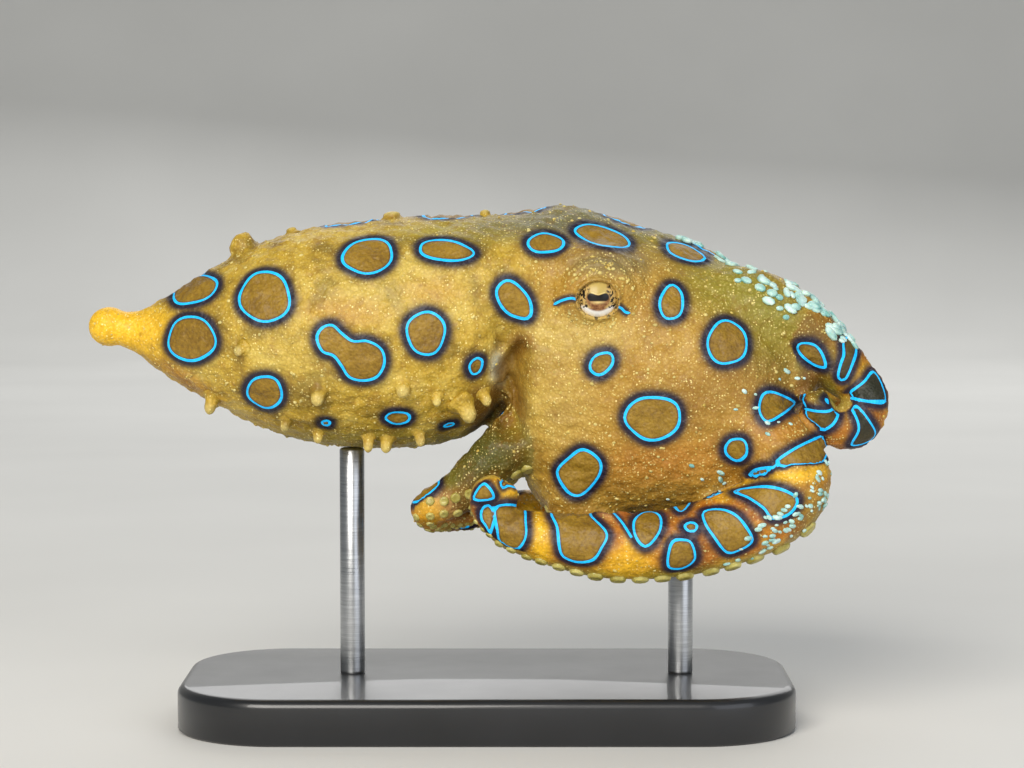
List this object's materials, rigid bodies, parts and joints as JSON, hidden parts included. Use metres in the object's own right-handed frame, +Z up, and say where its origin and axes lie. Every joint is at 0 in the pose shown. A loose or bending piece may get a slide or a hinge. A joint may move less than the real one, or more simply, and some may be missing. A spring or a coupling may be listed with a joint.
{
  "type": "blue ringed octopus model",
  "caption": "Life-size blue-ringed octopus, swimming with curled arms and suckers, on a flat display stand with thin rods.",
  "frame": {"origin": "centre of the underside of the stand's base", "axes": "+X from the tip of the mantle towards the arms, +Z up, the animal's right side at -Y"},
  "size_m": [0.07, 0.028, 0.0457],
  "materials": {
    "mantle_skin": "moist",
    "arm_skin": "moist",
    "sucker_flesh": "moist",
    "eye": "wet",
    "stand_lacquer": "satin",
    "stand_steel": "satin"
  },
  "bodies": {
    "root": {"mantle": "mantle_skin", "head": "mantle_skin", "crown": "mantle_skin", "funnel": "mantle_skin", "mouth": "sucker_flesh", "eye_left": "eye", "eye_right": "eye", "stand_base": "stand_lacquer", "stand_rod_rear": "stand_steel", "stand_rod_front": "stand_steel", "arm_1_right_base": "arm_skin", "arm_1_right_middle": "arm_skin", "arm_1_right_tip": "arm_skin", "arm_1_left_base": "arm_skin", "arm_1_left_middle": "arm_skin", "arm_1_left_tip": "arm_skin", "arm_2_right_base": "arm_skin", "arm_2_right_middle": "arm_skin", "arm_2_right_tip": "arm_skin", "arm_2_left_base": "arm_skin", "arm_2_left_middle": "arm_skin", "arm_2_left_tip": "arm_skin", "arm_3_right_base": "arm_skin", "arm_3_right_middle": "arm_skin", "arm_3_right_tip": "arm_skin", "arm_3_left_base": "arm_skin", "arm_3_left_middle": "arm_skin", "arm_3_left_tip": "arm_skin", "arm_4_right_base": "arm_skin", "arm_4_right_tip": "arm_skin", "arm_4_left_base": "arm_skin", "arm_4_left_tip": "arm_skin"}
  },
  "joints": []
}
